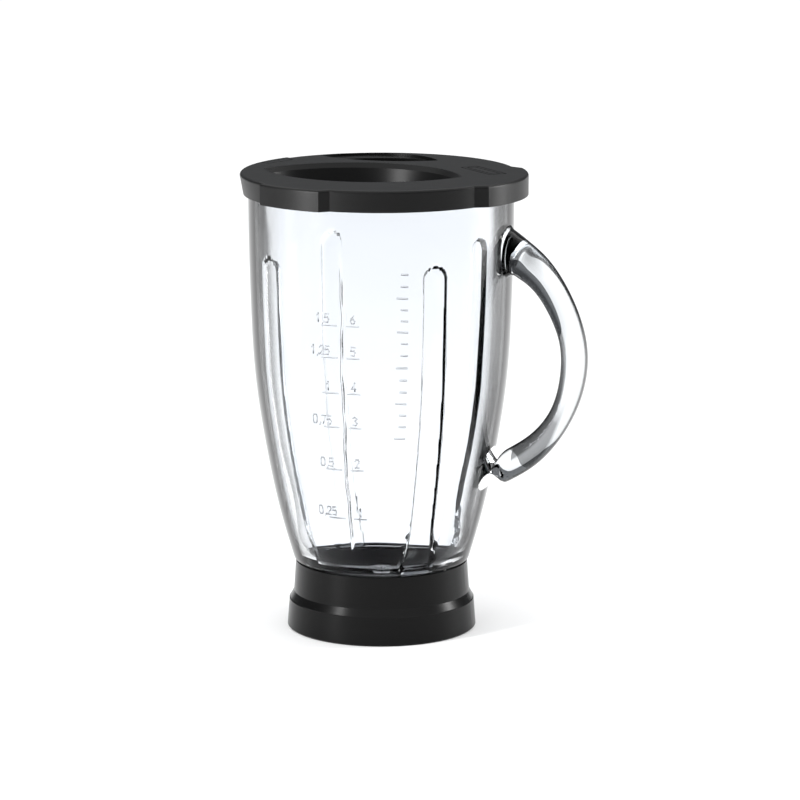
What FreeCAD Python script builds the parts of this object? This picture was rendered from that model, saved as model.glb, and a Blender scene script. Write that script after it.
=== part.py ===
import FreeCAD, Part
import math
import os

from FreeCAD import Vector

# Glass blender jug that locks onto a kitchen machine. Millimetres, +Z up.
# The origin is on the collar's axis, in the plane that the collar stands on.
# The handle points along +X and the pouring lip along -X.

# Base collar
BASE_RADIUS = 52.1
BAND_TOP_RADIUS = 51.0
BAND_TOP_Z = 16.0
NECK_RADIUS = 48.5
NECK_Z = 20.0
COLLAR_TOP_RADIUS = 47.4
COLLAR_TOP_Z = 37.6
EDGE_ROUND = 0.8
SEAT_MOUTH_RADIUS = 46.5
SEAT_MOUTH_DEPTH = 6.0
SEAT_RADIUS = 44.0
SHELF_THICKNESS = 4.0
SHELF_HOLE_RADIUS = 34.5
SEAT_LUG_COUNT = 3
SEAT_LUG_REACH = 3.0

# Thread between the jug's foot and the collar
FOOT_RADIUS = 44.0
FOOT_BORE_RADIUS = 40.2
FOOT_Z = 24.6
FOOT_CLEARANCE = 0.4
LUG_COUNT = 4
LUG_REACH = 1.9
LUG_BOTTOM_Z = 28.0
LUG_TOP_Z = 31.0
LUG_HALF_ANGLE = 10.0
GROOVE_RADIUS = 46.3
GROOVE_BOTTOM_Z = 27.0
LIP_Z = 33.0
UNSCREW_ANGLE = 45.0
THREAD_LEAD = 9.0
RAMP_STEPS = 4
RAMP_CLEARANCE = 0.3

# Jug
WALL = 5.0
JUG_SHOULDER_Z = COLLAR_TOP_Z + 0.3
JUG_RIM_Z = 250.0
JUG_RIM_RADIUS = 72.4
OUTER_PROFILE = [(48.6, 39.5), (54.3, 59.0), (63.2, 100.0), (69.3, 143.0), (71.3, 180.0), (72.3, 225.0)]
RIM_ROUND = 2.0
RIB_ANGLES = [48.0, 133.0, -133.0, -48.0]
RIB_WIDTH = 13.0
RIB_DEPTH = 3.5
RIB_BOTTOM_Z = 40.0
RIB_TOP_Z = 211.0
LIP_REACH = 73.8
LIP_TOP_RADIUS = 13.0
LIP_BOTTOM_RADIUS = 8.0
LIP_BOTTOM_Z = 214.0
LIP_WALL = 3.8

# Handle, drawn in the XZ plane
HANDLE_WIDTH = 20.0
HANDLE_ROUND = 5.5
HANDLE_OUTER = [(64.0, 230.0), (80.0, 220.5), (97.0, 204.5), (112.0, 178.0), (116.0, 155.0),
                (109.0, 125.0), (91.0, 98.5), (72.0, 85.5), (52.0, 77.0)]
HANDLE_INNER = [(52.0, 90.0), (70.0, 99.0), (89.0, 116.0), (100.5, 138.0), (101.5, 161.0),
                (91.0, 185.0), (76.0, 200.0), (64.0, 206.0)]

# Lid
LID_BOTTOM_Z = 241.4
LID_TOP_Z = 253.0
LID_PLATE_Z = 250.3
LID_SEAT_Z = JUG_RIM_Z + 0.3
LID_RADIUS = 79.0
LID_GRIP_RADIUS = 74.5
LID_NOSE_RADIUS = 80.5
LID_NOSE_HALF_ANGLE = 26.8
GRIP_FRONT_ANGLE = 31.5
GRIP_BACK_ANGLE = 94.4
CHEEK_FRONT_ANGLE = 97.8
CHEEK_BACK_ANGLE = 127.9
REAR_BACK_ANGLE = 150.0
LIP_LOBE_TOP_RADIUS = 77.1
LIP_LOBE_BOTTOM_RADIUS = 75.0
LID_CAVITY_RADIUS = 72.75
LID_SKIN = 1.7
LID_EDGE_ROUND = 1.5
PLUG_OUTER_RADIUS = 65.5
PLUG_INNER_RADIUS = 63.6
PLUG_BOTTOM_Z = 241.0
SEAL_RADIUS = 67.1
SEAL_BOTTOM_Z = 243.0
SEAL_TOP_Z = 247.0
# Plain frames sunk in the top: middle x, middle y, length, width and direction
LABEL_FRAMES = [(52.5, 18.5, 33.0, 10.5, -45.0), (52.5, 18.5, 28.0, 5.5, -45.0), (-66.5, 21.0, 20.0, 6.0, 65.0)]
LABEL_LINE = 0.7
LABEL_DEPTH = 0.35

# Lens-shaped wells in the lid: middle x, half length, tip y, near edge y, far edge y
FUNNEL_WELL = (-8.2, 56.0, -8.4, -43.5, 30.5)
FINGER_WELL = (-16.1, 34.0, 49.0, 38.0, 69.5)
WELL_LEDGE_Z = 250.9
WELL_LEDGE_THICKNESS = 2.4
WELL_LEDGE_WIDTH = 0.8
WELL_WALL = 1.8
FINGER_WELL_DEPTH = 9.0
FINGER_RIM_DEPTH = 1.5
FUNNEL_GAP = 0.3
FUNNEL_WALL = 1.3
FUNNEL_BOTTOM_Z = 236.0
FUNNEL_LIP = 0.4
FUNNEL_TAPER = 3.2
FUNNEL_MOUTH_Z = 250.4

# Knife carrier
CARRIER_RADIUS = 39.7
CARRIER_FLANGE_RADIUS = 43.6
CARRIER_FLANGE_TOP_Z = 22.5
CARRIER_RIM_Z = 37.5
CARRIER_RIM_WIDTH = 3.2
DISH_FLOOR_Z = 17.0
DISH_FLOOR_RADIUS = 29.0
BOSS_RADIUS = 9.5
BOSS_BOTTOM_Z = 12.7
BOSS_TOP_Z = 21.6

# Shaft, bearings and blades
SHAFT_RADIUS = 4.0
RUNNING_GAP = 0.04
BUSH_RADIUS = 6.5
BUSH_LENGTH = 3.0
BUSH_GAP = 1.0
SEAL_POCKET_RADIUS = 7.2
SEAL_HEIGHT = 1.4
STUD_RADIUS = 3.2
SHAFT_BOTTOM_Z = 6.6
STUD_TOP_Z = 27.2
WASHER_RADIUS = 7.5
WASHER_THICKNESS = 0.6
THRUST_GAP = 0.15
BLADE_THICKNESS = 1.2
BLADE_HUB_RADIUS = 8.0
BLADE_REACH = 26.5
BLADE_ROOT_WIDTH = 10.0
BLADE_TIP_WIDTH = 4.0
UPPER_BLADE_HEADING = 17.0
LOWER_BLADE_HEADING = 107.0
UPPER_BLADE_BEND = 5.0
LOWER_BLADE_BEND = -11.0
SPACER_RADIUS = 6.0
SPACER_THICKNESS = 0.9
NUT_ACROSS_FLATS = 10.0
NUT_HEIGHT = 1.8
CIRCLIP_RADIUS = 6.2
CIRCLIP_THICKNESS = 0.7
CIRCLIP_GROOVE = 0.6
COUPLING_HUB_RADIUS = 6.4
COUPLING_RADIUS = 12.0
COUPLING_TOP_Z = 11.0
DOG_COUNT = 6
DOG_WIDTH = 4.4
DOG_BOTTOM_Z = 7.4
PIN_RADIUS = 1.0
PIN_Z = 8.9
PIN_HALF_LENGTH = 5.8

# Heights that follow from the stack on the shaft
UPPER_BUSH_Z = BOSS_BOTTOM_Z + BUSH_LENGTH + BUSH_GAP
SHAFT_SEAL_Z = UPPER_BUSH_Z + BUSH_LENGTH
RETAINER_Z = SHAFT_SEAL_Z + SEAL_HEIGHT
UPPER_WASHER_Z = BOSS_TOP_Z + THRUST_GAP
LOWER_BLADE_Z = UPPER_WASHER_Z + WASHER_THICKNESS
SPACER_Z = LOWER_BLADE_Z + BLADE_THICKNESS
UPPER_BLADE_Z = SPACER_Z + SPACER_THICKNESS
NUT_Z = UPPER_BLADE_Z + BLADE_THICKNESS
LOWER_WASHER_Z = BOSS_BOTTOM_Z - THRUST_GAP - WASHER_THICKNESS
CIRCLIP_Z = LOWER_WASHER_Z - CIRCLIP_THICKNESS

ORIGIN = Vector(0, 0, 0)
UP = Vector(0, 0, 1)


def polar(radius, angle, z=0.0):
    """A point at a radius and an angle in degrees about the jug's axis."""
    turn = math.radians(angle)
    return Vector(radius * math.cos(turn), radius * math.sin(turn), z)


def turned(points):
    """A solid of revolution from (radius, z) corners."""
    corners = [Vector(radius, 0, z) for radius, z in points]
    outline = Part.makePolygon(corners + corners[:1])
    return Part.Face(outline).revolve(ORIGIN, UP, 360)


def disc(radius, z_low, z_high, centre=(0.0, 0.0)):
    """A solid cylinder about a vertical axis."""
    return Part.makeCylinder(radius, z_high - z_low, Vector(centre[0], centre[1], z_low), UP)


def ring(outer, inner, z_low, z_high):
    """A flat ring about the jug's axis."""
    return disc(outer, z_low, z_high).cut(disc(inner, z_low - 1, z_high + 1))


def sector(outer, inner, z_low, z_high, start, end):
    """A part of a ring, between two angles in degrees."""
    wedge = Part.makeCylinder(outer, z_high - z_low, Vector(0, 0, z_low), UP, end - start)
    wedge.rotate(ORIGIN, UP, start)
    return wedge.cut(disc(inner, z_low - 1, z_high + 1))


def arc(first, middle, last):
    """The edge of a circular arc through three points."""
    return Part.Arc(first, middle, last).toShape()


def curve(points):
    """A smooth edge through (x, z) points in the XZ plane."""
    spline = Part.BSplineCurve()
    spline.interpolate([Vector(x, 0, z) for x, z in points])
    return spline.toShape()


def chain(points):
    """Straight edges through (x, z) points in the XZ plane."""
    ends = [Vector(x, 0, z) for x, z in points]
    return [Part.makeLine(a, b) for a, b in zip(ends, ends[1:])]


def base_collar():
    shelf_z = BAND_TOP_Z
    bore = FOOT_RADIUS + FOOT_CLEARANCE
    body = turned([
        (SEAT_MOUTH_RADIUS, 0), (BASE_RADIUS - EDGE_ROUND, 0), (BASE_RADIUS, EDGE_ROUND),
        (BAND_TOP_RADIUS, BAND_TOP_Z - EDGE_ROUND / 2), (BAND_TOP_RADIUS - EDGE_ROUND / 2, BAND_TOP_Z),
        (NECK_RADIUS, NECK_Z), (COLLAR_TOP_RADIUS, COLLAR_TOP_Z - EDGE_ROUND / 2),
        (COLLAR_TOP_RADIUS - EDGE_ROUND / 2, COLLAR_TOP_Z), (bore, COLLAR_TOP_Z),
        (bore, LIP_Z), (GROOVE_RADIUS, LIP_Z), (GROOVE_RADIUS, GROOVE_BOTTOM_Z),
        (bore, GROOVE_BOTTOM_Z), (bore, shelf_z + SHELF_THICKNESS),
        (SHELF_HOLE_RADIUS, shelf_z + SHELF_THICKNESS), (SHELF_HOLE_RADIUS, shelf_z),
        (SEAT_RADIUS, shelf_z), (SEAT_RADIUS, SEAT_MOUTH_DEPTH), (SEAT_MOUTH_RADIUS, SEAT_MOUTH_DEPTH)])
    ramps = []
    notches = []
    ramp_span = UNSCREW_ANGLE - LUG_HALF_ANGLE - 3
    ramp_start = -LUG_HALF_ANGLE - 2
    step = (ramp_span - ramp_start) / RAMP_STEPS
    for lug in range(LUG_COUNT):
        centre = lug * 360 / LUG_COUNT
        for index in range(RAMP_STEPS):
            start = ramp_start + index * step
            highest_turn = min(UNSCREW_ANGLE, start + step + LUG_HALF_ANGLE)
            under_z = LUG_TOP_Z + THREAD_LEAD * highest_turn / 360 + RAMP_CLEARANCE
            ramps.append(sector(GROOVE_RADIUS, bore, under_z, LIP_Z, centre + start, centre + start + step))
        notch_centre = centre + UNSCREW_ANGLE
        half = LUG_HALF_ANGLE + 2
        notches.append(sector(GROOVE_RADIUS, bore - 1, LIP_Z - 0.01, COLLAR_TOP_Z + 1,
                              notch_centre - half, notch_centre + half))
    lugs = []
    for index in range(SEAT_LUG_COUNT):
        middle = 90 + index * 360 / SEAT_LUG_COUNT
        lugs.append(sector(SEAT_RADIUS + 0.5, SEAT_RADIUS - SEAT_LUG_REACH, 8.0, 11.5, middle - 9, middle + 9))
    return body.multiFuse(ramps + lugs).cut(Part.makeCompound(notches)).removeSplitter()


def knife_carrier():
    rim_inner = CARRIER_RADIUS - CARRIER_RIM_WIDTH
    shelf_top = BAND_TOP_Z + SHELF_THICKNESS
    skirt = SHELF_HOLE_RADIUS - 0.3
    floor_under = DISH_FLOOR_Z - 2.5
    return turned([
        (BUSH_RADIUS, BOSS_BOTTOM_Z), (BOSS_RADIUS, BOSS_BOTTOM_Z), (BOSS_RADIUS, floor_under),
        (DISH_FLOOR_RADIUS + 2, floor_under), (skirt, floor_under + 3), (skirt, shelf_top),
        (CARRIER_FLANGE_RADIUS, shelf_top), (CARRIER_FLANGE_RADIUS, CARRIER_FLANGE_TOP_Z),
        (CARRIER_RADIUS, CARRIER_FLANGE_TOP_Z), (CARRIER_RADIUS, CARRIER_RIM_Z - 1),
        (CARRIER_RADIUS - 1, CARRIER_RIM_Z), (rim_inner + 1, CARRIER_RIM_Z),
        (rim_inner, CARRIER_RIM_Z - 1), (33.0, 21.0), (DISH_FLOOR_RADIUS, DISH_FLOOR_Z),
        (BOSS_RADIUS, DISH_FLOOR_Z), (BOSS_RADIUS, BOSS_TOP_Z), (SEAL_POCKET_RADIUS, BOSS_TOP_Z),
        (SEAL_POCKET_RADIUS, SHAFT_SEAL_Z), (BUSH_RADIUS, SHAFT_SEAL_Z),
        (BUSH_RADIUS, UPPER_BUSH_Z), (SHAFT_RADIUS + 0.6, UPPER_BUSH_Z),
        (SHAFT_RADIUS + 0.6, UPPER_BUSH_Z - BUSH_GAP), (BUSH_RADIUS, UPPER_BUSH_Z - BUSH_GAP)])


def shaft_ring(outer, z_low, z_high, bore=SHAFT_RADIUS + RUNNING_GAP):
    """A bearing, seal or washer that fits round the shaft."""
    return ring(outer, bore, z_low, z_high)


def coupling_pin():
    return Part.makeCylinder(PIN_RADIUS, 2 * PIN_HALF_LENGTH, Vector(0, -PIN_HALF_LENGTH, PIN_Z), Vector(0, 1, 0))


def blade_shaft():
    body = disc(SHAFT_RADIUS, SHAFT_BOTTOM_Z, LOWER_BLADE_Z).fuse(disc(STUD_RADIUS, LOWER_BLADE_Z, STUD_TOP_Z))
    groove = ring(SHAFT_RADIUS + 1, SHAFT_RADIUS - CIRCLIP_GROOVE, CIRCLIP_Z, CIRCLIP_Z + CIRCLIP_THICKNESS)
    return body.cut(groove).cut(coupling_pin()).removeSplitter()


def shaft_circlip():
    body = ring(CIRCLIP_RADIUS, SHAFT_RADIUS - CIRCLIP_GROOVE, CIRCLIP_Z, CIRCLIP_Z + CIRCLIP_THICKNESS)
    gap = Part.makeBox(CIRCLIP_RADIUS + 1, 3, 2, Vector(0, -1.5, CIRCLIP_Z - 0.5))
    return body.cut(gap)


def drive_coupling():
    body = disc(COUPLING_HUB_RADIUS, SHAFT_BOTTOM_Z, COUPLING_TOP_Z)
    dog = Part.makeBox(COUPLING_RADIUS, DOG_WIDTH, COUPLING_TOP_Z - DOG_BOTTOM_Z,
                       Vector(0, -DOG_WIDTH / 2, DOG_BOTTOM_Z))
    for index in range(DOG_COUNT):
        turned_dog = dog.copy()
        turned_dog.rotate(ORIGIN, UP, index * 360 / DOG_COUNT)
        body = body.fuse(turned_dog)
    body = body.common(disc(COUPLING_RADIUS, 0, COUPLING_TOP_Z))
    return body.cut(disc(SHAFT_RADIUS, 0, COUPLING_TOP_Z + 1)).cut(coupling_pin()).removeSplitter()


def blade_pair(z, bend, heading):
    """Two wings bent up or down from a flat hub."""
    rise = (BLADE_REACH - BLADE_HUB_RADIUS) * math.tan(math.radians(bend))
    lower_side = [(-BLADE_REACH, z + rise), (-BLADE_HUB_RADIUS, z), (BLADE_HUB_RADIUS, z), (BLADE_REACH, z + rise)]
    upper_side = [(x, height + BLADE_THICKNESS) for x, height in reversed(lower_side)]
    corners = [Vector(x, -BLADE_HUB_RADIUS, height) for x, height in lower_side + upper_side]
    strip = Part.Face(Part.makePolygon(corners + corners[:1])).extrude(Vector(0, 2 * BLADE_HUB_RADIUS, 0))
    half_root = BLADE_ROOT_WIDTH / 2
    half_tip = BLADE_TIP_WIDTH / 2
    side = [Vector(0, -half_root, 0), Vector(BLADE_HUB_RADIUS, -half_root, 0), Vector(BLADE_REACH, half_tip, 0),
            Vector(BLADE_REACH - 2, half_tip + 1.5, 0), Vector(BLADE_HUB_RADIUS, half_root, 0), Vector(0, half_root, 0)]
    wing = Part.Face(Part.makePolygon(side + side[:1])).extrude(Vector(0, 0, 60))
    other_wing = wing.copy()
    other_wing.rotate(ORIGIN, UP, 180)
    plan = wing.fuse([other_wing, disc(BLADE_HUB_RADIUS, 0, 60)])
    pair = strip.common(plan).cut(disc(STUD_RADIUS, 0, 60))
    pair.rotate(ORIGIN, UP, heading)
    return pair.removeSplitter()


def blade_nut():
    corner_radius = NUT_ACROSS_FLATS / math.sqrt(3)
    corners = [polar(corner_radius, 60 * index, NUT_Z) for index in range(6)]
    body = Part.Face(Part.makePolygon(corners + corners[:1])).extrude(Vector(0, 0, NUT_HEIGHT))
    dome_radius = 6.2
    dome = Part.makeSphere(dome_radius, Vector(0, 0, NUT_Z + 2.6 - dome_radius)).common(disc(4.6, NUT_Z, 40))
    return body.fuse(dome).cut(disc(STUD_RADIUS, NUT_Z - 1, STUD_TOP_Z)).removeSplitter()


def jug_blank():
    """The jug's outer form as a full body of revolution, above the shoulder."""
    top = JUG_RIM_Z - RIM_ROUND
    edges = chain([(0, JUG_SHOULDER_Z), (OUTER_PROFILE[0][0] - 0.9, JUG_SHOULDER_Z), OUTER_PROFILE[0]])
    edges.append(curve(OUTER_PROFILE))
    edges += chain([OUTER_PROFILE[-1], (JUG_RIM_RADIUS, top)])
    slant = RIM_ROUND * (1 - math.sqrt(0.5))
    edges.append(arc(Vector(JUG_RIM_RADIUS, 0, top),
                     Vector(JUG_RIM_RADIUS - slant, 0, JUG_RIM_Z - slant),
                     Vector(JUG_RIM_RADIUS - RIM_ROUND, 0, JUG_RIM_Z)))
    edges += chain([(JUG_RIM_RADIUS - RIM_ROUND, JUG_RIM_Z), (0, JUG_RIM_Z), (0, JUG_SHOULDER_Z)])
    return Part.Face(Part.Wire(edges)).revolve(ORIGIN, UP, 360)


def jug_hollow(inset=0.0):
    """The space inside the jug, or a smaller one when inset."""
    inner = [(radius - WALL - inset, z) for radius, z in OUTER_PROFILE[1:]]
    foot = (FOOT_BORE_RADIUS - inset, JUG_SHOULDER_Z - 2)
    edges = chain([(0, FOOT_Z - 1), (FOOT_BORE_RADIUS - inset, FOOT_Z - 1), foot])
    edges.append(curve([foot, (OUTER_PROFILE[0][0] - WALL - inset, OUTER_PROFILE[0][1] + 3)] + inner))
    edges += chain([inner[-1], (JUG_RIM_RADIUS - WALL - inset, JUG_RIM_Z + 1), (0, JUG_RIM_Z + 1), (0, FOOT_Z - 1)])
    return Part.Face(Part.Wire(edges)).revolve(ORIGIN, UP, 360)


def jug_ribs():
    """Upright ridges on the inside wall, with round tops."""
    arch_z = RIB_TOP_Z - RIB_WIDTH / 2
    slab = Part.makeBox(90, RIB_WIDTH, arch_z - RIB_BOTTOM_Z, Vector(0, -RIB_WIDTH / 2, RIB_BOTTOM_Z))
    arch = Part.makeCylinder(RIB_WIDTH / 2, 90, Vector(0, 0, arch_z), Vector(1, 0, 0))
    stencil = slab.fuse(arch)
    sleeve = jug_hollow(-WALL / 2).cut(jug_hollow(RIB_DEPTH))
    ribs = []
    for angle in RIB_ANGLES:
        cutter = stencil.copy()
        cutter.rotate(ORIGIN, UP, angle)
        ribs.append(sleeve.common(cutter))
    return ribs


def lip_cone(wall):
    """The pouring lip's bulge, or its channel when a wall is taken off."""
    centre_x = LIP_TOP_RADIUS - LIP_REACH
    return Part.makeCone(LIP_BOTTOM_RADIUS - wall, LIP_TOP_RADIUS - wall, JUG_RIM_Z - LIP_BOTTOM_Z,
                         Vector(centre_x, 0, LIP_BOTTOM_Z), UP)


def glass_jug():
    foot = ring(FOOT_RADIUS, FOOT_BORE_RADIUS, FOOT_Z, JUG_SHOULDER_Z + 1)
    lugs = []
    for index in range(LUG_COUNT):
        centre = index * 360 / LUG_COUNT
        lugs.append(sector(FOOT_RADIUS + LUG_REACH, FOOT_RADIUS - 1, LUG_BOTTOM_Z, LUG_TOP_Z,
                           centre - LUG_HALF_ANGLE, centre + LUG_HALF_ANGLE))
    body = jug_blank().fuse([lip_cone(0), foot] + lugs)
    channel = lip_cone(LIP_WALL)
    body = body.cut(jug_hollow()).cut(channel)
    return body.fuse(jug_ribs()).removeSplitter()


def glass_handle():
    ends = chain([HANDLE_OUTER[-1], HANDLE_INNER[0]]) + chain([HANDLE_INNER[-1], HANDLE_OUTER[0]])
    outline = Part.Wire(Part.__sortEdges__([curve(HANDLE_OUTER), curve(HANDLE_INNER)] + ends))
    slab = Part.Face(outline).extrude(Vector(0, HANDLE_WIDTH, 0))
    slab.translate(Vector(0, -HANDLE_WIDTH / 2, 0))
    long_edges = [edge for edge in slab.Edges if edge.Length > 100]
    rounded = slab.makeFillet(HANDLE_ROUND, long_edges)
    return rounded.cut(jug_blank())


def wedge(radius, z_low, z_high, start, end):
    """A slice of a full disc, between two angles in degrees."""
    slice_ = Part.makeCylinder(radius, z_high - z_low, Vector(0, 0, z_low), UP, end - start)
    slice_.rotate(ORIGIN, UP, start)
    return slice_


def lid_body(inset, z_low, z_high):
    """The lid's outline, drawn in by a skin's thickness, as a solid between two heights."""
    outer = LID_RADIUS - inset
    grip = LID_GRIP_RADIUS - inset
    nose = LID_NOSE_RADIUS - inset
    arcs = [(outer, -CHEEK_BACK_ANGLE, -CHEEK_FRONT_ANGLE), (grip, -GRIP_BACK_ANGLE, -GRIP_FRONT_ANGLE),
            (nose, -LID_NOSE_HALF_ANGLE, LID_NOSE_HALF_ANGLE), (grip, GRIP_FRONT_ANGLE, REAR_BACK_ANGLE),
            (PLUG_INNER_RADIUS, REAR_BACK_ANGLE + 3, 360 - CHEEK_BACK_ANGLE - 3)]
    edges = []
    for radius, start, end in arcs:
        reach = outer if radius == nose else radius
        edges.append(arc(polar(reach, start), polar(radius, (start + end) / 2), polar(reach, end)))
    links = [Part.makeLine(first.lastVertex().Point, second.firstVertex().Point)
             for first, second in zip(edges, edges[1:] + edges[:1])]
    plan = Part.Face(Part.Wire(Part.__sortEdges__(edges + links)))
    plan.translate(Vector(0, 0, z_low))
    body = plan.extrude(Vector(0, 0, z_high - z_low))
    slope = (LIP_LOBE_TOP_RADIUS - LIP_LOBE_BOTTOM_RADIUS) / (LID_TOP_Z - LID_BOTTOM_Z)
    low_radius = LIP_LOBE_BOTTOM_RADIUS + slope * (z_low - LID_BOTTOM_Z) - inset
    high_radius = LIP_LOBE_BOTTOM_RADIUS + slope * (z_high - LID_BOTTOM_Z) - inset
    lobe = Part.makeCone(low_radius, high_radius, z_high - z_low, Vector(0, 0, z_low), UP)
    lobe = lobe.common(wedge(LID_RADIUS + 5, z_low, z_high, REAR_BACK_ANGLE, 360 - CHEEK_BACK_ANGLE))
    return body.fuse(lobe).removeSplitter()


def lens(well, inset, z_low, z_high):
    """A lens with pointed tips: the overlap of two round discs."""
    middle_x, half_length, tip_y, near_y, far_y = well
    near_sag = tip_y - near_y
    far_sag = far_y - tip_y
    near_radius = (half_length ** 2 + near_sag ** 2) / (2 * near_sag)
    far_radius = (half_length ** 2 + far_sag ** 2) / (2 * far_sag)
    near_disc = disc(near_radius - inset, z_low, z_high, (middle_x, near_y + near_radius))
    far_disc = disc(far_radius - inset, z_low, z_high, (middle_x, far_y - far_radius))
    return near_disc.common(far_disc)


def rounded_top(shape, radius, z):
    """Rounds the outer edges that lie in the plane at height z."""
    edges = [edge for edge in shape.Edges
             if abs(edge.BoundBox.ZMin - z) < 0.01 and abs(edge.BoundBox.ZMax - z) < 0.01]
    return shape.makeFillet(radius, edges)


def label_frame(x, y, length, width, direction):
    """A plain rectangular groove in the lid's top."""
    depth = 12
    outer = Part.makeBox(length, width, depth, Vector(-length / 2, -width / 2, 0))
    inner = Part.makeBox(length - 2 * LABEL_LINE, width - 2 * LABEL_LINE, depth + 2,
                         Vector(LABEL_LINE - length / 2, LABEL_LINE - width / 2, -1))
    frame = outer.cut(inner)
    frame.rotate(ORIGIN, UP, direction)
    frame.translate(Vector(x, y, LID_TOP_Z - LABEL_DEPTH))
    return frame


def lid_cover():
    blank = lid_body(0, LID_BOTTOM_Z, LID_TOP_Z)
    blank = rounded_top(blank, LID_EDGE_ROUND, LID_TOP_Z)
    cavity = lid_body(LID_SKIN, LID_BOTTOM_Z - 1, LID_SEAT_Z)
    shell = blank.cut(cavity).cut(disc(LID_CAVITY_RADIUS, LID_BOTTOM_Z - 1, LID_SEAT_Z))
    shell = shell.cut(disc(PLUG_INNER_RADIUS, LID_BOTTOM_Z - 1, LID_PLATE_Z))
    plug = ring(PLUG_OUTER_RADIUS, PLUG_INNER_RADIUS, PLUG_BOTTOM_Z, LID_PLATE_Z)
    ledge_low = WELL_LEDGE_Z - WELL_LEDGE_THICKNESS
    ledge = lens(FUNNEL_WELL, -WELL_WALL, ledge_low, LID_TOP_Z - 1).common(disc(PLUG_OUTER_RADIUS, 0, LID_TOP_Z))
    finger_low = LID_TOP_Z - FINGER_WELL_DEPTH - WELL_WALL
    pocket = lens(FINGER_WELL, -WELL_WALL, finger_low, LID_PLATE_Z).common(disc(PLUG_OUTER_RADIUS, 0, LID_TOP_Z))
    body = shell.fuse([plug, ledge, pocket])
    body = body.cut(lens(FUNNEL_WELL, 0, WELL_LEDGE_Z, LID_TOP_Z + 1))
    body = body.cut(lens(FUNNEL_WELL, WELL_LEDGE_WIDTH, ledge_low - 1, LID_TOP_Z))
    finger_space = lens(FINGER_WELL, 0, LID_TOP_Z - FINGER_WELL_DEPTH, LID_TOP_Z + 1)
    body = body.cut(finger_space.common(disc(PLUG_OUTER_RADIUS - 2 * WELL_WALL, 0, LID_TOP_Z + 1)))
    body = body.cut(lens(FINGER_WELL, 0, LID_TOP_Z - FINGER_RIM_DEPTH, LID_TOP_Z + 1))
    body = body.cut(Part.makeCompound([label_frame(*values) for values in LABEL_FRAMES]))
    return body.removeSplitter()


def lens_outline(well, inset, z):
    """The lower outline of a lens-shaped solid at height z."""
    solid = lens(well, inset, z, z + 1)
    lowest = min(solid.Faces, key=lambda face: face.CenterOfMass.z)
    return lowest.OuterWire


def filler_funnel():
    flange = lens(FUNNEL_WELL, FUNNEL_GAP, WELL_LEDGE_Z, LID_TOP_Z)
    wall_inset = WELL_LEDGE_WIDTH + FUNNEL_GAP
    top_inner = wall_inset + FUNNEL_WALL
    low_inner = top_inner + FUNNEL_TAPER
    cup = Part.makeLoft([lens_outline(FUNNEL_WELL, wall_inset, WELL_LEDGE_Z),
                         lens_outline(FUNNEL_WELL, wall_inset + FUNNEL_TAPER, FUNNEL_BOTTOM_Z)], True, True)
    mouth = Part.makeLoft([lens_outline(FUNNEL_WELL, FUNNEL_GAP + FUNNEL_LIP, LID_TOP_Z),
                           lens_outline(FUNNEL_WELL, top_inner, FUNNEL_MOUTH_Z)], True, True)
    hollow = Part.makeLoft([lens_outline(FUNNEL_WELL, top_inner, FUNNEL_MOUTH_Z),
                            lens_outline(FUNNEL_WELL, low_inner, FUNNEL_BOTTOM_Z + FUNNEL_WALL)], True, True)
    return flange.fuse(cup).cut(mouth).cut(hollow).removeSplitter()


def build_nodes():
    """Every piece of the jug, by node name."""
    return {
        "base_collar": base_collar(),
        "knife_carrier": knife_carrier(),
        "lower_bush": shaft_ring(BUSH_RADIUS, BOSS_BOTTOM_Z, BOSS_BOTTOM_Z + BUSH_LENGTH),
        "upper_bush": shaft_ring(BUSH_RADIUS, UPPER_BUSH_Z, UPPER_BUSH_Z + BUSH_LENGTH),
        "shaft_seal": shaft_ring(SEAL_POCKET_RADIUS, SHAFT_SEAL_Z, RETAINER_Z),
        "seal_retainer": shaft_ring(SEAL_POCKET_RADIUS, RETAINER_Z, BOSS_TOP_Z, SHAFT_RADIUS + 0.6),
        "blade_shaft": blade_shaft(),
        "lower_thrust_washer": shaft_ring(WASHER_RADIUS, LOWER_WASHER_Z, LOWER_WASHER_Z + WASHER_THICKNESS,
                                          SHAFT_RADIUS),
        "upper_thrust_washer": shaft_ring(WASHER_RADIUS, UPPER_WASHER_Z, LOWER_BLADE_Z, SHAFT_RADIUS),
        "shaft_circlip": shaft_circlip(),
        "drive_coupling": drive_coupling(),
        "coupling_pin": coupling_pin(),
        "lower_blades": blade_pair(LOWER_BLADE_Z, LOWER_BLADE_BEND, LOWER_BLADE_HEADING),
        "blade_spacer": ring(SPACER_RADIUS, STUD_RADIUS, SPACER_Z, UPPER_BLADE_Z),
        "upper_blades": blade_pair(UPPER_BLADE_Z, UPPER_BLADE_BEND, UPPER_BLADE_HEADING),
        "blade_nut": blade_nut(),
        "jug_gasket": ring(CARRIER_FLANGE_RADIUS, CARRIER_RADIUS + 0.3, CARRIER_FLANGE_TOP_Z, FOOT_Z),
        "glass_jug": glass_jug(),
        "glass_handle": glass_handle(),
        "lid_cover": lid_cover(),
        "lid_seal": ring(SEAL_RADIUS, PLUG_OUTER_RADIUS, SEAL_BOTTOM_Z, SEAL_TOP_Z),
        "filler_funnel": filler_funnel(),
    }


os.makedirs("parts", exist_ok=True)
for node_name, node_shape in build_nodes().items():
    node_shape.exportStep(f"parts/{node_name}.step")
    box = node_shape.BoundBox
    print(node_name, len(node_shape.Solids), node_shape.isValid(), round(node_shape.Volume, 1),
          round(box.ZMin, 2), round(box.ZMax, 2))
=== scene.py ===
import math

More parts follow.
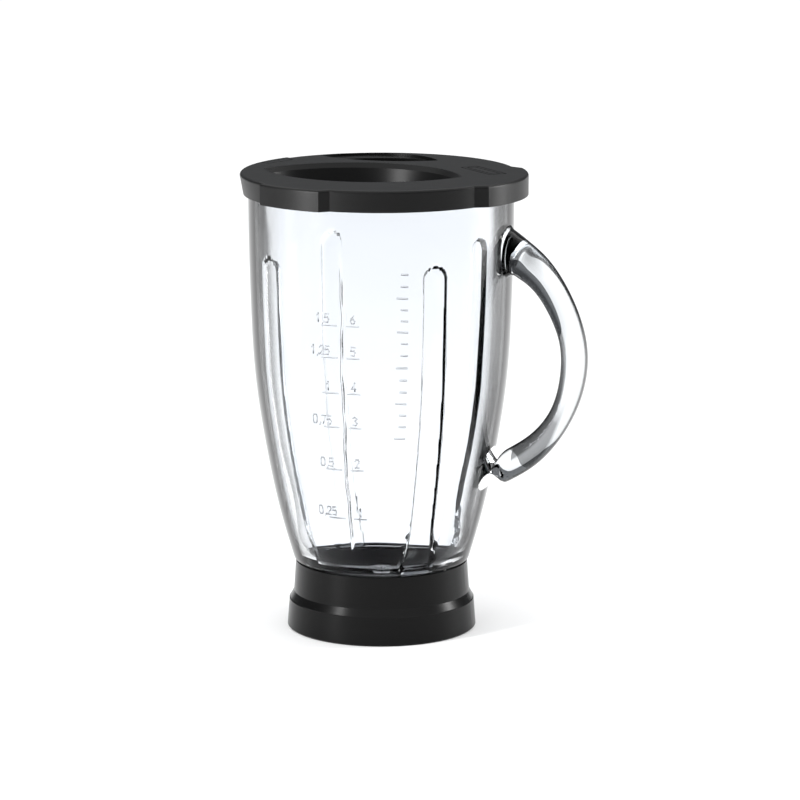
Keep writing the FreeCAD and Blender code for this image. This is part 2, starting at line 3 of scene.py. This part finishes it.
import bmesh
import bpy
import numpy as np
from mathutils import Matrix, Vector


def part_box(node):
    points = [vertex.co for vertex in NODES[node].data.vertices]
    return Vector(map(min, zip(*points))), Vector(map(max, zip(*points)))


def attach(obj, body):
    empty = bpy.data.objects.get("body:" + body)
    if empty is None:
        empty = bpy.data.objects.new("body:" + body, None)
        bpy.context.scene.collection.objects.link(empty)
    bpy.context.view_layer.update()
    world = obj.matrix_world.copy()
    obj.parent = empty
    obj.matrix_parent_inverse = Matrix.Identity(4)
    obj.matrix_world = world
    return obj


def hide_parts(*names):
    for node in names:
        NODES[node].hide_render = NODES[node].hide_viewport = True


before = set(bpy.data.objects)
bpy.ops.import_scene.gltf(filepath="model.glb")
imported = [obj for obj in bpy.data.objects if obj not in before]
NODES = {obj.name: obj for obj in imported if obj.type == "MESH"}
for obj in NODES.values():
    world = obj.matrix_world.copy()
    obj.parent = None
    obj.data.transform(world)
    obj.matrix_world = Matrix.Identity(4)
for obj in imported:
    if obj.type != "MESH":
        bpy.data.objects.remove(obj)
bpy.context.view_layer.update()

# The object's lengths are millimetres here; MM turns them into metres for a mesh or a material.
# Bump heights, lights and the camera are in metres from the start.
MM = 0.001


def box_mm(node):
    """A CAD node's lowest and highest corners, in millimetres."""
    low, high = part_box(node)
    return low / MM, high / MM


JUG_LOW, JUG_HIGH = box_mm("glass_jug")
COLLAR_TOP_Z = box_mm("base_collar")[1].z
HANDLE_REACH = box_mm("glass_handle")[1].x

# Jug profile, as (z, outer radius) at the points that its curve passes through
PROFILE = [(39.5, 48.6), (59.0, 54.3), (100.0, 63.2), (143.0, 69.3), (180.0, 71.3),
           (225.0, 72.3), (250.0, 72.4)]
WALL = 5.0
FOOT_RADIUS = 44.0
FOOT_BORE = 40.2
FOOT_ROUND = 0.6
BORE_TOP_Z = 34.5
# The inside starts to open out at the first of these (z, radius) points
INNER_START = (36.5, FOOT_BORE)
INNER_SECOND = (43.0, 44.4)
SHOULDER_Z = COLLAR_TOP_Z + 0.3
NECK_ROUND = 0.8
# The shoulder's rounded lower edge, as (rise above SHOULDER_Z, radius)
SHOULDER_CURVE = [(0.0, 45.9), (0.2, 46.9), (0.6, 47.8), (1.1, 48.35)]
RIM_Z = JUG_HIGH.z
RIM_ROUND = 2.0
OUTER_ROW_STEP = 1.5
INNER_ROW_STEP = 1.2
INNER_RIPPLE = 0.06
RIB_ANGLES = (48.0, 133.0, -133.0, -48.0)
RIB_HALF_WIDTH = 7.0
RIB_DEPTH = 3.4
RIB_TOP_Z = 211.0
RIB_EDGE = 0.80
RIB_FLARE = 3.0
RIB_FLARE_Z = (42, 66)
RIB_START_Z = (37, 41)
LIP_BULGE = 1.5
LIP_RADIUS = 72
LIP_START_Z = 214
LIP_FULL_Z = 246
LIP_WIDE_Z = 250
LIP_HALF_WIDTH = 7.0
LIP_WIDENING = 8.0
SEAM_ANGLE = -90.0
SEAM_HEIGHT = 1.6
SEAM_UNEVEN = 0.3
SEAM_HALF_WIDTH = 0.72
SEAM_FADE_IN_Z = (50, 70)
SEAM_FADE_OUT_Z = (205, 222)

# Spacing of the jug's mesh columns, in degrees: (distance from the feature, step within it)
SEAM_COLUMNS = (1.8, 0.15)
RIB_COLUMNS = (9.0, 0.22)
PLAIN_COLUMN_STEP = 1.8
LAST_COLUMN_GAP = 0.2

# Middle of the handle's loop at rest, and the x below which its painted shade stops, clear of the jug
HANDLE_CENTRE = (74.0, 0.0, 150.0)
PAINTED_SHADE_START_X = 76.5

# Camera: degrees, metres and the lens in millimetres
VIEW_AZIMUTH = 17.0
CAMERA_DISTANCE = 2.15
CAMERA_HEIGHT = 0.562
AIM_ASIDE = 0.0102
AIM_HEIGHT = 0.1262
LENS_MM = 179.75


# ---------------------------------------------------------------- mesh helpers

def smooth_curve(knots, values):
    """A natural cubic spline through the values at the knots, as a function of arrays."""
    x = np.array(knots, float)
    y = np.array(values, float)
    h = np.diff(x)
    n = len(x)
    system = np.eye(n)
    right = np.zeros(n)
    for i in range(1, n - 1):
        system[i, i - 1:i + 2] = h[i - 1], 2 * (h[i - 1] + h[i]), h[i]
        right[i] = 6 * ((y[i + 1] - y[i]) / h[i] - (y[i] - y[i - 1]) / h[i - 1])
    bend = np.linalg.solve(system, right)

    def at(t):
        t = np.asarray(t, float)
        i = np.clip(np.searchsorted(x, t) - 1, 0, n - 2)
        a = x[i + 1] - t
        b = t - x[i]
        return ((bend[i] * a ** 3 + bend[i + 1] * b ** 3) / (6 * h[i])
                + (y[i] / h[i] - bend[i] * h[i] / 6) * a + (y[i + 1] / h[i] - bend[i + 1] * h[i] / 6) * b)
    return at


outer_radius = smooth_curve([z for z, r in PROFILE], [r for z, r in PROFILE])


def ease(low, high, value):
    """0 below low, 1 above high, smooth between."""
    t = np.clip((np.asarray(value, float) - low) / (high - low), 0, 1)
    return t * t * (3 - 2 * t)


def mesh_piece(name, points, faces, material):
    """A smooth-shaded mesh object from points in millimetres."""
    mesh = bpy.data.meshes.new(name)
    mesh.from_pydata([tuple(c * MM for c in p) for p in points], [], faces)
    mesh.update()
    piece = bpy.data.objects.new(name, mesh)
    bpy.context.scene.collection.objects.link(piece)
    mesh.materials.append(material)
    mesh.polygons.foreach_set("use_smooth", [True] * len(mesh.polygons))
    return piece


def grid_faces(rows, columns, close_rows=False):
    """Quads between neighbouring closed rings of points; close_rows joins the last ring to the first."""
    faces = []
    for i in range(rows if close_rows else rows - 1):
        for j in range(columns):
            a = i * columns + j
            b = i * columns + (j + 1) % columns
            c = ((i + 1) % rows) * columns + (j + 1) % columns
            d = ((i + 1) % rows) * columns + j
            faces.append((a, b, c, d))
    return faces


def loft(rings):
    """Points and faces of a tube through closed rings of equal length, capped at both ends."""
    columns = len(rings[0])
    points = [tuple(p) for ring in rings for p in ring]
    faces = grid_faces(len(rings), columns)
    faces.append(tuple(reversed(range(columns))))
    faces.append(tuple(range(len(points) - columns, len(points))))
    return points, faces


def sharpen(piece, degrees):
    """Smooth shading, with edges over the angle left sharp."""
    piece.data.polygons.foreach_set("use_smooth", [True] * len(piece.data.polygons))
    piece.data.set_sharp_from_angle(angle=math.radians(degrees))


def union(piece, other):
    """Joins another closed piece into the first one, and deletes it."""
    modifier = piece.modifiers.new("union", "BOOLEAN")
    modifier.operation = "UNION"
    modifier.solver = "MANIFOLD"
    modifier.object = other
    graph = bpy.context.evaluated_depsgraph_get()
    joined = bpy.data.meshes.new_from_object(piece.evaluated_get(graph))
    piece.modifiers.clear()
    piece.data = joined
    bpy.data.objects.remove(other)


def outward(piece):
    """Turns a closed piece's faces outward."""
    shape = bmesh.new()
    shape.from_mesh(piece.data)
    bmesh.ops.recalc_face_normals(shape, faces=shape.faces)
    shape.to_mesh(piece.data)
    shape.free()


# ---------------------------------------------------------------- materials

class Look:
    """A Principled material and short calls to build its nodes."""

    def __init__(self, name):
        self.material = bpy.data.materials.new(name)
        self.material.use_nodes = True
        self.tree = self.material.node_tree
        self.shader = self.tree.nodes["Principled BSDF"]

    def set(self, **values):
        for socket, value in values.items():
            self.shader.inputs[socket.replace("_", " ")].default_value = value

    def node(self, kind, **values):
        made = self.tree.nodes.new(kind)
        for key, value in values.items():
            if key in made.inputs:
                made.inputs[key].default_value = value
            else:
                setattr(made, key, value)
        return made

    def link(self, start, output, end, socket):
        self.tree.links.new(start.outputs[output], end.inputs[socket])

    def noise(self, scale, detail=3.0, stretch=(1, 1, 1)):
        place = self.node("ShaderNodeTexCoord")
        size = self.node("ShaderNodeMapping")
        size.inputs["Scale"].default_value = stretch
        self.link(place, "Object", size, "Vector")
        made = self.node("ShaderNodeTexNoise", Scale=scale, Detail=detail, Roughness=0.55)
        self.link(size, "Vector", made, "Vector")
        return made

    def ramp(self, source, output, stops):
        made = self.node("ShaderNodeValToRGB")
        self.link(source, output, made, "Fac")
        band = made.color_ramp
        while len(band.elements) < len(stops):
            band.elements.new(0.5)
        for element, (position, colour) in zip(band.elements, stops):
            element.position = position
            element.color = (*colour, 1) if len(colour) == 3 else colour
        return made

    def bump(self, source, output, distance, strength=1.0):
        made = self.node("ShaderNodeBump", Distance=distance, Strength=strength)
        self.link(source, output, made, "Height")
        self.link(made, "Normal", self.shader, "Normal")


def grey(value):
    return (value, value, value)


def handle_shade(look):
    """A painted shade, dark on the handle faces turned towards the middle of its loop and clear elsewhere, in
    place of the dark refraction along the loop's inside.

    The facing value runs from 0, towards the middle, to 1, away from it; the jug itself is set to 1.
    It is painted on, not refracted, and it is placed in the world: when the jug turns, it stays behind.
    """
    place = look.node("ShaderNodeNewGeometry")
    out = look.node("ShaderNodeVectorMath", operation="SUBTRACT")
    look.link(place, "Position", out, 0)
    out.inputs[1].default_value = tuple(c * MM for c in HANDLE_CENTRE)
    unit = look.node("ShaderNodeVectorMath", operation="NORMALIZE")
    look.link(out, "Vector", unit, 0)
    facing = look.node("ShaderNodeVectorMath", operation="DOT_PRODUCT")
    look.link(unit, "Vector", facing, 0)
    look.link(place, "Normal", facing, 1)
    split = look.node("ShaderNodeSeparateXYZ")
    look.link(place, "Position", split, "Vector")
    # The painted shade is left off the jug itself, below this x
    on_jug = look.node("ShaderNodeMath", operation="LESS_THAN")
    look.link(split, "X", on_jug, 0)
    on_jug.inputs[1].default_value = PAINTED_SHADE_START_X * MM
    lifted = look.node("ShaderNodeMath", operation="MULTIPLY_ADD")
    look.link(facing, "Value", lifted, 0)
    lifted.inputs[1].default_value = 0.5
    lifted.inputs[2].default_value = 0.5
    clear = look.node("ShaderNodeMath", operation="MAXIMUM")
    look.link(lifted, "Value", clear, 0)
    look.link(on_jug, "Value", clear, 1)
    return look.ramp(clear, "Value", [(0.15, grey(0.05)), (0.47, grey(0.12)), (0.57, grey(1.0))])


def make_glass():
    """Clear thick glass, with painted shade where it is seen at a slant, in place of the dark edges that
    refraction gives, so that its outlines show on white.
    """
    look = Look("pressed_glass")
    look.set(Roughness=0.0, IOR=1.5, Transmission_Weight=1.0, Specular_Tint=(0.10, 0.10, 0.11, 1))
    slant = look.node("ShaderNodeLayerWeight", Blend=0.5)
    # Painted edge shade: nearly clear face-on, black at a steep slant
    edge_shade_stops = [(0.36, (0.90, 0.915, 0.94)), (0.53, grey(0.70)), (0.62, grey(0.05)), (0.70, grey(0.0))]
    edge = look.ramp(slant, "Facing", edge_shade_stops)
    # Painted shade: the slant shade multiplied by the handle's painted shade, used as the glass's colour
    painted_shade = look.node("ShaderNodeMixRGB", blend_type="MULTIPLY", Fac=1.0)
    look.link(edge, "Color", painted_shade, "Color1")
    look.link(handle_shade(look), "Color", painted_shade, "Color2")
    look.link(painted_shade, "Color", look.shader, "Base Color")
    waves = look.noise(9.0, detail=1.0)
    look.bump(waves, "Fac", 0.0006, 0.5)
    inside = look.node("ShaderNodeVolumeAbsorption", Density=7.0)
    inside.inputs["Color"].default_value = (0.62, 0.70, 0.68, 1)
    look.link(inside, "Volume", look.tree.nodes["Material Output"], "Volume")
    return look.material


def make_frosted_glass():
    """The moulded numerals: slightly dull, and bending light less than the jug, so that they stay faint."""
    look = Look("numeral_glass")
    look.set(IOR=1.12, Transmission_Weight=1.0)
    grain = look.noise(600.0)
    tone = look.ramp(grain, "Fac", [(0.3, grey(0.86)), (0.7, grey(0.93))])
    look.link(tone, "Color", look.shader, "Base Color")
    dull = look.ramp(grain, "Fac", [(0.3, grey(0.12)), (0.7, grey(0.22))])
    look.link(dull, "Color", look.shader, "Roughness")
    look.bump(grain, "Fac", 0.00002)
    return look.material


def make_black_plastic(name, base, rough, specular, grain):
    look = Look(name)
    look.set(Specular_IOR_Level=specular)
    patches = look.noise(30.0, detail=5.0)
    colour = look.ramp(patches, "Fac", [(0.3, grey(base * 0.9)), (0.7, grey(base * 1.15))])
    look.link(colour, "Color", look.shader, "Base Color")
    sheen = look.ramp(patches, "Fac", [(0.3, grey(rough * 0.93)), (0.7, grey(min(1, rough * 1.08)))])
    look.link(sheen, "Color", look.shader, "Roughness")
    fine = look.noise(1600.0, detail=2.0)
    look.bump(fine, "Fac", grain)
    return look.material


def make_rubber():
    look = Look("silicone")
    look.set(Subsurface_Weight=0.1, Specular_IOR_Level=0.4)
    patches = look.noise(80.0)
    colour = look.ramp(patches, "Fac", [(0.3, (0.52, 0.53, 0.51)), (0.7, (0.60, 0.60, 0.57))])
    look.link(colour, "Color", look.shader, "Base Color")
    rough = look.ramp(patches, "Fac", [(0.3, grey(0.45)), (0.7, grey(0.6))])
    look.link(rough, "Color", look.shader, "Roughness")
    look.bump(look.noise(900.0), "Fac", 0.00002)
    return look.material


def make_metal(name, colour, rough, stretch):
    look = Look(name)
    look.set(Metallic=1.0)
    lines = look.noise(700.0, detail=2.0, stretch=stretch)
    dark = tuple(c * 0.86 for c in colour)
    shade = look.ramp(lines, "Fac", [(0.35, dark), (0.65, colour)])
    look.link(shade, "Color", look.shader, "Base Color")
    dull = look.ramp(lines, "Fac", [(0.3, grey(rough * 0.8)), (0.7, grey(rough * 1.25))])
    look.link(dull, "Color", look.shader, "Roughness")
    look.bump(lines, "Fac", 0.00001)
    return look.material


GLASS = make_glass()
NUMERAL_GLASS = make_frosted_glass()
LID_BLACK = make_black_plastic("lid_plastic", 0.004, 0.36, 0.19, 0.000012)
COLLAR_BLACK = make_black_plastic("collar_plastic", 0.002, 0.24, 0.14, 0.000004)
COUPLING_BLACK = make_black_plastic("coupling_nylon", 0.03, 0.55, 0.4, 0.00002)
SILICONE = make_rubber()
STEEL = make_metal("ground_steel", (0.62, 0.62, 0.63), 0.25, (1, 12, 1))
BRONZE = make_metal("bush_bronze", (0.62, 0.42, 0.22), 0.35, (1, 1, 8))

NODE_LOOKS = {
    "base_collar": COLLAR_BLACK, "knife_carrier": COLLAR_BLACK, "drive_coupling": COUPLING_BLACK,
    "lid_cover": LID_BLACK, "filler_funnel": LID_BLACK,
    "jug_gasket": SILICONE, "lid_seal": SILICONE, "shaft_seal": SILICONE,
    "upper_bush": BRONZE, "lower_bush": BRONZE, "glass_jug": GLASS, "glass_handle": GLASS,
}
for node_name, node in NODES.items():
    node.data.materials.clear()
    node.data.materials.append(NODE_LOOKS.get(node_name, STEEL))


# ---------------------------------------------------------------- glass jug

def jug_columns():
    """Angles round the jug in degrees, closer together at the ribs and at the seam."""
    angles = []
    angle = -180.0
    while angle < 180.0 - LAST_COLUMN_GAP:
        angles.append(angle)
        to_rib = min(abs((angle - rib + 180) % 360 - 180) for rib in RIB_ANGLES)
        to_seam = abs((angle - SEAM_ANGLE + 180) % 360 - 180)
        if to_seam < SEAM_COLUMNS[0]:
            angle += SEAM_COLUMNS[1]
        elif to_rib < RIB_COLUMNS[0]:
            angle += RIB_COLUMNS[1]
        else:
            angle += PLAIN_COLUMN_STEP
    return np.array(angles)


def rib_height(angles, z):
    """How far the ribs stand in from the inside wall."""
    height = np.zeros_like(angles)
    arch_z = RIB_TOP_Z - RIB_HALF_WIDTH
    half = RIB_HALF_WIDTH + RIB_FLARE * (1 - ease(*RIB_FLARE_Z, z))
    for rib in RIB_ANGLES:
        aside = np.radians((angles - rib + 180) % 360 - 180) * (outer_radius(z) - WALL)
        apart = np.sqrt(aside ** 2 + max(0.0, z - arch_z) ** 2)
        height = np.maximum(height, RIB_DEPTH * (1 - ease(RIB_EDGE, 1.0, apart / half)))
    return height


def lip_bulge(angles, z):
    """How far the pouring lip stands out, at the top of the -X side."""
    aside = np.radians((angles + 360) % 360 - 180) * LIP_RADIUS
    width = LIP_HALF_WIDTH + LIP_WIDENING * ease(LIP_START_Z, LIP_WIDE_Z, z)
    return LIP_BULGE * ease(LIP_START_Z, LIP_FULL_Z, z) * np.exp(-(aside / width) ** 2)


def seam_ridge(angles, z):
    """The mould's parting line down the front, which wanders a little."""
    wander = 0.35 * math.sin(z * 0.11) + 0.2 * math.sin(z * 0.31 + 1)
    aside = np.radians((angles - SEAM_ANGLE + 180) % 360 - 180) * outer_radius(z) - wander
    fade = ease(*SEAM_FADE_IN_Z, z) * (1 - ease(*SEAM_FADE_OUT_Z, z))
    height = SEAM_HEIGHT + SEAM_UNEVEN * math.sin(z * 0.23)
    return height * fade * np.exp(-(aside / SEAM_HALF_WIDTH) ** 2)


def jug_rows():
    """The wall's section as (z, radius, side) rows, once round from the foot."""
    rows = [(JUG_LOW.z, FOOT_RADIUS - FOOT_ROUND, "plain"), (JUG_LOW.z + FOOT_ROUND, FOOT_RADIUS, "plain"),
            (SHOULDER_Z - NECK_ROUND, FOOT_RADIUS, "plain"), (SHOULDER_Z, FOOT_RADIUS + NECK_ROUND, "plain")]
    for rise, radius in SHOULDER_CURVE:
        rows.append((SHOULDER_Z + rise, radius, "plain"))
    rim_start = RIM_Z - RIM_ROUND
    for z in np.arange(PROFILE[0][0], rim_start, OUTER_ROW_STEP):
        rows.append((z, float(outer_radius(z)), "outer"))
    for turn in np.linspace(0, math.pi, 9):
        across = WALL / 2 - RIM_ROUND
        side = "outer" if turn < math.pi / 2 else "inner"
        middle = outer_radius(rim_start) - RIM_ROUND - (0 if turn < math.pi / 2 else 2 * across)
        if abs(turn - math.pi / 2) < 1e-6:
            middle = outer_radius(rim_start) - WALL / 2
        rows.append((rim_start + RIM_ROUND * math.sin(turn), middle + RIM_ROUND * math.cos(turn), side))
    inside = [INNER_START, INNER_SECOND] + [(z, r - WALL) for z, r in PROFILE[1:]]
    inner_radius = smooth_curve([z for z, r in inside], [r for z, r in inside])
    for z in np.arange(rim_start - OUTER_ROW_STEP, INNER_START[0] + 0.1, -INNER_ROW_STEP):
        rows.append((z, float(inner_radius(z)), "inner"))
    rows.append((BORE_TOP_Z, FOOT_BORE, "plain"))
    rows.append((JUG_LOW.z + FOOT_ROUND, FOOT_BORE, "plain"))
    rows.append((JUG_LOW.z, FOOT_BORE + FOOT_ROUND, "plain"))
    return rows


def make_wall():
    angles = jug_columns()
    turns = np.radians(angles)
    points = []
    rows = jug_rows()
    for z, radius, side in rows:
        reach = np.full_like(angles, radius)
        if side != "plain":
            reach += lip_bulge(angles, z)
        if side == "outer":
            reach += seam_ridge(angles, z)
        if side == "inner":
            reach -= rib_height(angles, z) * ease(*RIB_START_Z, z)
            reach += INNER_RIPPLE * np.sin(turns * 5 + z * 0.05) * np.sin(z * 0.09 + 2)
        points += list(zip(reach * np.cos(turns), reach * np.sin(turns), np.full_like(angles, z)))
    faces = grid_faces(len(rows), len(angles), close_rows=True)
    return mesh_piece("jug_glass", points, faces, GLASS)


# Handle: outer and inner curves in the XZ plane, from the upper root to the lower one
HANDLE_OUTER = [(75.0, 223.5), (86.0, 215.5), (97.0, 204.5), (109.0, 184.0), (HANDLE_REACH, 156.0),
                (109.5, 125.0), (92.0, 99.0), (72.0, 85.0)]
HANDLE_INNER = [(76.0, 199.5), (84.0, 194.0), (91.5, 185.5), (99.0, 171.0), (102.0, 154.0),
                (98.0, 131.0), (86.0, 113.5), (71.0, 103.0)]
HANDLE_HALF_WIDTH = 10.0
HANDLE_SIDES = 40
HANDLE_RINGS = 61
# The section is an oval whose sides are squarer the smaller this is
HANDLE_SQUARENESS = 0.86
END_WIDENING = 1.2
END_SHARE = 0.12
# Where each root meets the wall, as (height of its middle, half its own height)
UPPER_ROOT = (213.0, 16.5)
LOWER_ROOT = (89.0, 19.0)
ROOT_HALF_WIDTH = 13.5
ROOT_SINK = 1.3
ROOT_STEPS = 7
ROOT_SPREAD = 1.7


def handle_rings():
    """Rings of points from the upper root to the lower one."""
    around = np.linspace(0, 2 * math.pi, HANDLE_SIDES, endpoint=False)
    lift = np.sign(np.cos(around)) * np.abs(np.cos(around)) ** HANDLE_SQUARENESS
    breadth = np.sign(np.sin(around)) * np.abs(np.sin(around)) ** HANDLE_SQUARENESS
    knots = np.linspace(0, 1, len(HANDLE_OUTER))
    outer_curve = [smooth_curve(knots, [p[axis] for p in HANDLE_OUTER]) for axis in (0, 1)]
    inner_curve = [smooth_curve(knots, [p[axis] for p in HANDLE_INNER]) for axis in (0, 1)]
    rings = []
    for t in np.linspace(0, 1, HANDLE_RINGS):
        outer = np.array([curve(t) for curve in outer_curve])
        inner = np.array([curve(t) for curve in inner_curve])
        middle = (outer + inner) / 2
        half = (outer - inner) / 2
        near_end = 1 - ease(0, END_SHARE, t) + ease(1 - END_SHARE, 1, t)
        wide = HANDLE_HALF_WIDTH + END_WIDENING * near_end
        rings.append(np.stack([middle[0] + half[0] * lift, wide * breadth, middle[1] + half[1] * lift], 1))
    starts = []
    for (root_z, half_height), ring in ((UPPER_ROOT, rings[0]), (LOWER_ROOT, rings[-1])):
        z = root_z + half_height * lift
        y = ROOT_HALF_WIDTH * breadth
        x = np.sqrt((outer_radius(z) - ROOT_SINK) ** 2 - y ** 2)
        wall = np.stack([x, y, z], 1)
        root = []
        for step in np.linspace(0, 1, ROOT_STEPS)[:-1]:
            centre = wall.mean(0) * (1 - step) + ring.mean(0) * step
            spread = (1 - step) ** ROOT_SPREAD
            root.append(centre + (wall - wall.mean(0)) * spread + (ring - ring.mean(0)) * (1 - spread))
        starts.append(root)
    return starts[0] + rings + starts[1][::-1]


def make_handle():
    points, faces = loft(handle_rings())
    return mesh_piece("handle_glass", points, faces, GLASS)


# Numerals of the moulded scale, as strokes in a cell one wide and two high
STROKES = {
    "0": [[(0.2, 0), (0.8, 0), (1, 0.4), (1, 1.6), (0.8, 2), (0.2, 2), (0, 1.6), (0, 0.4), (0.2, 0)]],
    "1": [[(0.2, 1.5), (0.6, 2), (0.6, 0)]],
    "2": [[(0, 1.6), (0.3, 2), (0.8, 2), (1, 1.6), (0.9, 1.2), (0, 0), (1, 0)]],
    "3": [[(0, 1.8), (0.5, 2), (1, 1.6), (0.5, 1.1), (1, 0.5), (0.6, 0), (0, 0.2)]],
    "4": [[(0.75, 0), (0.75, 2), (0, 0.6), (1, 0.6)]],
    "5": [[(1, 2), (0.1, 2), (0, 1.1), (0.7, 1.2), (1, 0.7), (0.7, 0), (0, 0.1)]],
    "6": [[(0.9, 2), (0.2, 1.2), (0, 0.6), (0.3, 0), (0.8, 0), (1, 0.5), (0.7, 1), (0.1, 0.9)]],
    "7": [[(0, 2), (1, 2), (0.4, 0)]],
    ",": [[(0.5, 0.2), (0.2, -0.35)]],
}
LITRE_MARKS = [("0,25", 72.0), ("0,5", 100.0), ("0,75", 124.0), ("1", 143.0), ("1,25", 162.5), ("1,5", 180.0)]
NUMERAL_CELL = 2.3
NUMERAL_ADVANCE = 1.45
COMMA_ADVANCE = 0.55
# Numerals stand this far above their tick, and end this far aside from the seam
NUMERAL_RISE = 1.6
LITRE_NUMERAL_END = -6.6
CUP_NUMERAL_END = 8.0
LITRE_TICK = (-12.0, -3.0)
CUP_TICK = (2.4, 9.0)
STROKE_WIDTH = 0.55
STROKE_HEIGHT = 0.12
STROKE_SINK = 0.08

# The fine ticks on the back wall
BACK_ANGLE = SEAM_ANGLE + 186
BACK_TICKS = 15
BACK_START_Z = 92
BACK_PITCH = 6.6
BACK_ASIDE = -2.0
BACK_LONG = 6.0
BACK_SHORT = 3.6
BACK_WIDTH = 0.7


def surface_point(aside, z, off, angle):
    """A point near the outer wall, a distance aside from an angle and off the surface."""
    radius = float(outer_radius(z))
    turn = math.radians(angle) + aside / radius
    return ((radius + off) * math.cos(turn), (radius + off) * math.sin(turn), z)


def raised_stroke(start, end, width, angle):
    """A small bar standing on the wall between two (aside, z) points, wider at its foot."""
    run = Vector((end[0] - start[0], end[1] - start[1]))
    along = run.normalized() * width * 0.4
    across = Vector((-along.y, along.x)) / 0.8
    rings = []
    for off, grow in ((-STROKE_SINK, 1.4), (STROKE_HEIGHT, 0.5)):
        corners = []
        for end_point, side in ((start, -1), (end, 1)):
            for sign in (side, -side):
                spot = Vector(end_point) + along * side * grow + across * sign * grow
                corners.append(surface_point(spot.x, spot.y, off, angle))
        rings.append(corners)
    return loft(rings)


def scale_marks():
    """Numerals and ticks of both scales, and the fine ticks on the back wall, as one mesh."""
    bars = []

    def write(text, right_aside, z):
        """Numerals beside the seam that end at right_aside."""
        advance = NUMERAL_CELL * NUMERAL_ADVANCE
        steps = [advance * (COMMA_ADVANCE if letter == "," else 1) for letter in text]
        left = right_aside - sum(steps)
        for letter, step in zip(text, steps):
            for line in STROKES[letter]:
                spots = [(left + x * NUMERAL_CELL, z + y * NUMERAL_CELL) for x, y in line]
                for start, end in zip(spots, spots[1:]):
                    bars.append(raised_stroke(start, end, STROKE_WIDTH, SEAM_ANGLE))
            left += step

    def tick(span, z):
        """A level stroke between two distances aside from the seam."""
        bars.append(raised_stroke((span[0], z), (span[1], z), STROKE_WIDTH, SEAM_ANGLE))

    for cup, (label, z) in enumerate(LITRE_MARKS, 1):
        write(label, LITRE_NUMERAL_END, z + NUMERAL_RISE)
        tick(LITRE_TICK, z)
        write(str(cup), CUP_NUMERAL_END, z + NUMERAL_RISE)
        tick(CUP_TICK, z)
    for index in range(BACK_TICKS):
        z = BACK_START_Z + index * BACK_PITCH
        reach = BACK_LONG if index % 3 == 0 else BACK_SHORT
        bars.append(raised_stroke((BACK_ASIDE, z), (BACK_ASIDE + reach, z), BACK_WIDTH, BACK_ANGLE))
    points = []
    faces = []
    for bar_points, bar_faces in bars:
        faces += [tuple(i + len(points) for i in face) for face in bar_faces]
        points += bar_points
    return mesh_piece("scale_marks", points, faces, NUMERAL_GLASS)


def make_jug():
    wall = make_wall()
    handle = make_handle()
    marks = scale_marks()
    for piece in (wall, handle, marks):
        outward(piece)
    union(wall, handle)
    sharpen(wall, 40)
    for piece in (wall, marks):
        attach(piece, "jug")
    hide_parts("glass_jug", "glass_handle")


make_jug()


# ---------------------------------------------------------------- floor, light and camera

def make_floor():
    bpy.ops.mesh.primitive_circle_add(vertices=96, radius=9.0, fill_type="NGON")
    floor = bpy.context.object
    floor.name = "floor"
    look = Look("floor_white")
    cloud = look.noise(2.0)
    tone = look.ramp(cloud, "Fac", [(0.3, grey(0.90)), (0.7, grey(0.92))])
    look.link(tone, "Color", look.shader, "Base Color")
    look.set(Roughness=0.8, Specular_IOR_Level=0.2)
    floor.data.materials.append(look.material)


SOFTBOX_DISTANCE = 1.5
SOFTBOX_HEIGHT = 0.5
SOFTBOX_SIZE = (0.25, 0.9)
SOFTBOX_AIM_Z = 0.13


def softbox(name, azimuth, power):
    """A soft rectangular light beside the object; azimuth 0 is in front, as the camera sees it."""
    turn = math.radians(azimuth + VIEW_AZIMUTH - 90)
    data = bpy.data.lights.new(name, "AREA")
    data.shape = "RECTANGLE"
    data.size, data.size_y = SOFTBOX_SIZE
    data.energy = power
    light = bpy.data.objects.new(name, data)
    light.location = (SOFTBOX_DISTANCE * math.cos(turn), SOFTBOX_DISTANCE * math.sin(turn), SOFTBOX_HEIGHT)
    aim = Vector((0, 0, SOFTBOX_AIM_Z)) - light.location
    light.rotation_euler = aim.to_track_quat("-Z", "Y").to_euler()
    bpy.context.scene.collection.objects.link(light)


def make_skylight():
    """A very wide, soft light from straight above, even over the whole floor."""
    data = bpy.data.lights.new("skylight", "SUN")
    data.energy = 3.05
    data.angle = math.radians(120)
    light = bpy.data.objects.new("skylight", data)
    light.location = (0, 0, 3)
    bpy.context.scene.collection.objects.link(light)


def make_world():
    world = bpy.data.worlds.new("studio")
    bpy.context.scene.world = world
    world.use_nodes = True
    background = world.node_tree.nodes["Background"]
    background.inputs["Color"].default_value = (0.93, 0.96, 1.0, 1)
    background.inputs["Strength"].default_value = 0.18


def make_camera():
    turn = math.radians(VIEW_AZIMUTH)
    data = bpy.data.cameras.new("camera")
    data.lens = LENS_MM
    data.sensor_width = 36.0
    data.clip_end = 40.0
    camera = bpy.data.objects.new("camera", data)
    camera.location = (CAMERA_DISTANCE * math.sin(turn), -CAMERA_DISTANCE * math.cos(turn), CAMERA_HEIGHT)
    aim = Vector((AIM_ASIDE * math.cos(turn), AIM_ASIDE * math.sin(turn), AIM_HEIGHT))
    camera.rotation_euler = (aim - camera.location).to_track_quat("-Z", "Y").to_euler()
    bpy.context.scene.collection.objects.link(camera)
    bpy.context.scene.camera = camera


make_floor()
make_world()
make_skylight()
softbox("left_softbox", azimuth=-58, power=25)
softbox("right_softbox", azimuth=98, power=18)
make_camera()
bpy.context.scene.view_settings.view_transform = "Standard"
